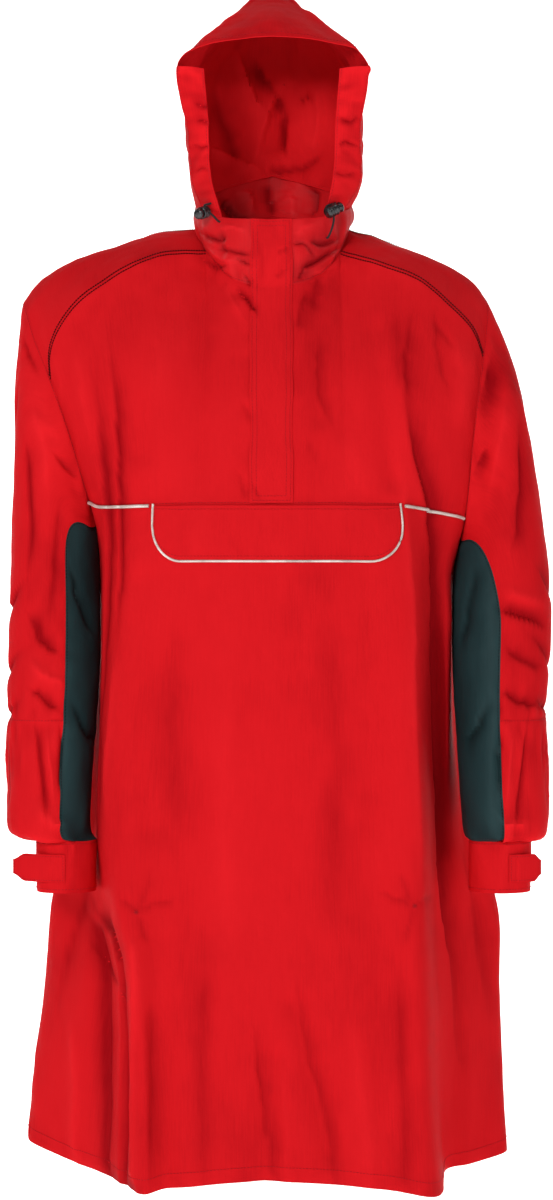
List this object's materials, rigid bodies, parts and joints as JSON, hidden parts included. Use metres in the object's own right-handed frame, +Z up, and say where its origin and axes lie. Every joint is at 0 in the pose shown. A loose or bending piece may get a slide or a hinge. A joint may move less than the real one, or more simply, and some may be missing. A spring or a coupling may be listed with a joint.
{
  "type": "cycling poncho",
  "caption": "Long red hooded rain poncho with sleeves, a flapped pocket across the chest with pale piping, dark panels under the arms and cord locks at the hood.",
  "frame": {"origin": "middle of the neck opening at shoulder height, where the wearer's neck holds the poncho", "axes": "+Z up, -Y to the front where the face looks out, +X to the right as seen from the front"},
  "size_m": [0.6462, 0.4007, 1.408],
  "materials": {
    "cloth_red": "coated plain weave with a soft sheen",
    "cloth_teal": "coated plain weave with a soft sheen",
    "piping_reflective": "off-white reflective piping",
    "lock_black": "smooth moulded"
  },
  "bodies": {
    "garment": {"front_lower": "cloth_red", "back": "cloth_red", "collar": "cloth_red", "zip_front": "cloth_red", "placket": "cloth_red", "pocket_flap": "cloth_red", "hood_centre": "cloth_red", "hood_peak": "cloth_red", "chest_left": "cloth_red", "yoke_left": "cloth_red", "sleeve_upper_left": "cloth_red", "sleeve_lower_left": "cloth_red", "cuff_left": "cloth_red", "cuff_tab_left": "cloth_red", "hood_side_left": "cloth_red", "hood_channel_left": "cloth_red", "sleeve_under_left": "cloth_teal", "chest_piping_left": "piping_reflective", "drawcord_upper_left": "lock_black", "drawcord_lower_left": "lock_black", "lock_barrel_left": "lock_black", "chest_right": "cloth_red", "yoke_right": "cloth_red", "sleeve_upper_right": "cloth_red", "sleeve_lower_right": "cloth_red", "cuff_right": "cloth_red", "cuff_tab_right": "cloth_red", "hood_side_right": "cloth_red", "hood_channel_right": "cloth_red", "sleeve_under_right": "cloth_teal", "chest_piping_right": "piping_reflective", "drawcord_upper_right": "lock_black", "drawcord_lower_right": "lock_black", "lock_barrel_right": "lock_black", "flap_piping": "piping_reflective"},
    "button_left": {"lock_button_left": "lock_black"},
    "button_right": {"lock_button_right": "lock_black"}
  },
  "joints": [
    {"name": "lock_press_left", "type": "slide", "parent": "garment", "child": "button_left", "axis": [0.4212, 0.8624, 0.2808], "range_m": [0, 0.0035], "stiffness_N_per_m": 300},
    {"name": "lock_press_right", "type": "slide", "parent": "garment", "child": "button_right", "axis": [-0.8096, -0.4048, -0.425], "range_m": [0, 0.0035], "stiffness_N_per_m": 300}
  ]
}
